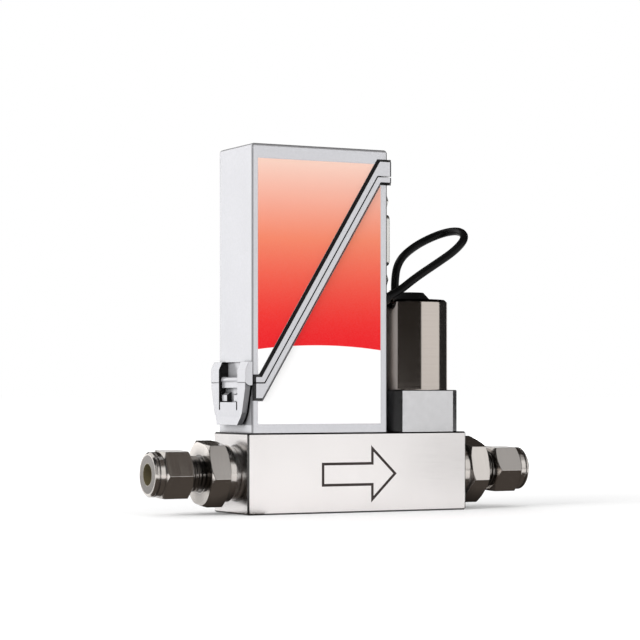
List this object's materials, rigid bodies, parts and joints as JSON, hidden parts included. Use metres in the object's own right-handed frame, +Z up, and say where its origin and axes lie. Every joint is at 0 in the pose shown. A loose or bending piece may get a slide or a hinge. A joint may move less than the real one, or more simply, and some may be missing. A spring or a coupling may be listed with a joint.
{
  "type": "mass flow controller",
  "caption": "Gas mass flow controller: steel flow block with compression fittings, latched two-part sensor housing with a diagonal seam, solenoid valve and looped valve cable.",
  "frame": {"origin": "centre of the flow block's bottom face", "axes": "+X along the gas flow from inlet to outlet, +Z up, front with the label towards -Y"},
  "size_m": [0.1324, 0.0287, 0.1133],
  "materials": {
    "block_steel": "satin brushed stainless",
    "fitting_steel": "bright turned stainless",
    "bright_steel": "machined stainless",
    "magnetic_steel": "ground magnetic stainless",
    "spring_steel": "spring steel",
    "housing_casting": "silver satin die casting",
    "label_film": "printed film",
    "valve_base_steel": "satin stainless",
    "coil_shell": "dark nickel plated",
    "black_plastic": "moulded black",
    "cable_jacket": "smooth black jacket",
    "seal_rubber": "elastomer",
    "board_laminate": "circuit board",
    "copper_wire": "enamelled copper wire",
    "plated_shell": "tin plated",
    "gold_contact": "gold plated"
  },
  "bodies": {
    "instrument": {"base_block": "block_steel", "board_capacitors": "black_plastic", "board_chips": "black_plastic", "board_header": "black_plastic", "board_screws": "bright_steel", "cable_gland": "cable_jacket", "circuit_board": "board_laminate", "coil_bobbin": "black_plastic", "coil_housing": "coil_shell", "coil_winding": "copper_wire", "connector_insert": "black_plastic", "connector_pins": "gold_contact", "connector_shell": "plated_shell", "core_tube": "bright_steel", "element_retainer": "bright_steel", "fixed_core": "magnetic_steel", "flux_washer": "magnetic_steel", "housing_base": "housing_casting", "housing_cover": "housing_casting", "housing_screws": "bright_steel", "inlet_back_ferrule": "bright_steel", "inlet_fitting": "fitting_steel", "inlet_front_ferrule": "bright_steel", "inlet_nut": "fitting_steel", "inlet_screen": "bright_steel", "inlet_seal": "bright_steel", "jack_screws": "plated_shell", "label_lower": "label_film", "label_upper": "label_film", "laminar_flow_element": "bright_steel", "latch_pin": "bright_steel", "outlet_back_ferrule": "bright_steel", "outlet_fitting": "fitting_steel", "outlet_front_ferrule": "bright_steel", "outlet_nut": "fitting_steel", "outlet_seal": "bright_steel", "plunger_spring": "spring_steel", "sensor_base": "bright_steel", "sensor_cover": "black_plastic", "sensor_screws": "bright_steel", "sensor_seals": "seal_rubber", "sensor_tube": "bright_steel", "sensor_windings": "copper_wire", "valve_base": "valve_base_steel", "valve_base_screws": "bright_steel", "valve_cable": "cable_jacket", "valve_cap": "black_plastic", "valve_seal": "seal_rubber", "valve_seat": "bright_steel"},
    "latch": {"latch_lever": "housing_casting"},
    "plunger": {"plunger": "magnetic_steel", "plunger_seal": "seal_rubber"}
  },
  "joints": [
    {"name": "latch_hinge", "type": "hinge", "parent": "instrument", "child": "latch", "pos_m": [-0.03775, 0, 0.0413], "axis": [0, 1, 0], "range_deg": [0, 50]},
    {"name": "plunger_slide", "type": "slide", "parent": "instrument", "child": "plunger", "axis": [0, 0, 1], "range_m": [0, 0.0004], "stiffness_N_per_m": 600, "springref_m": -0.002, "deforming": ["plunger_spring"]}
  ]
}
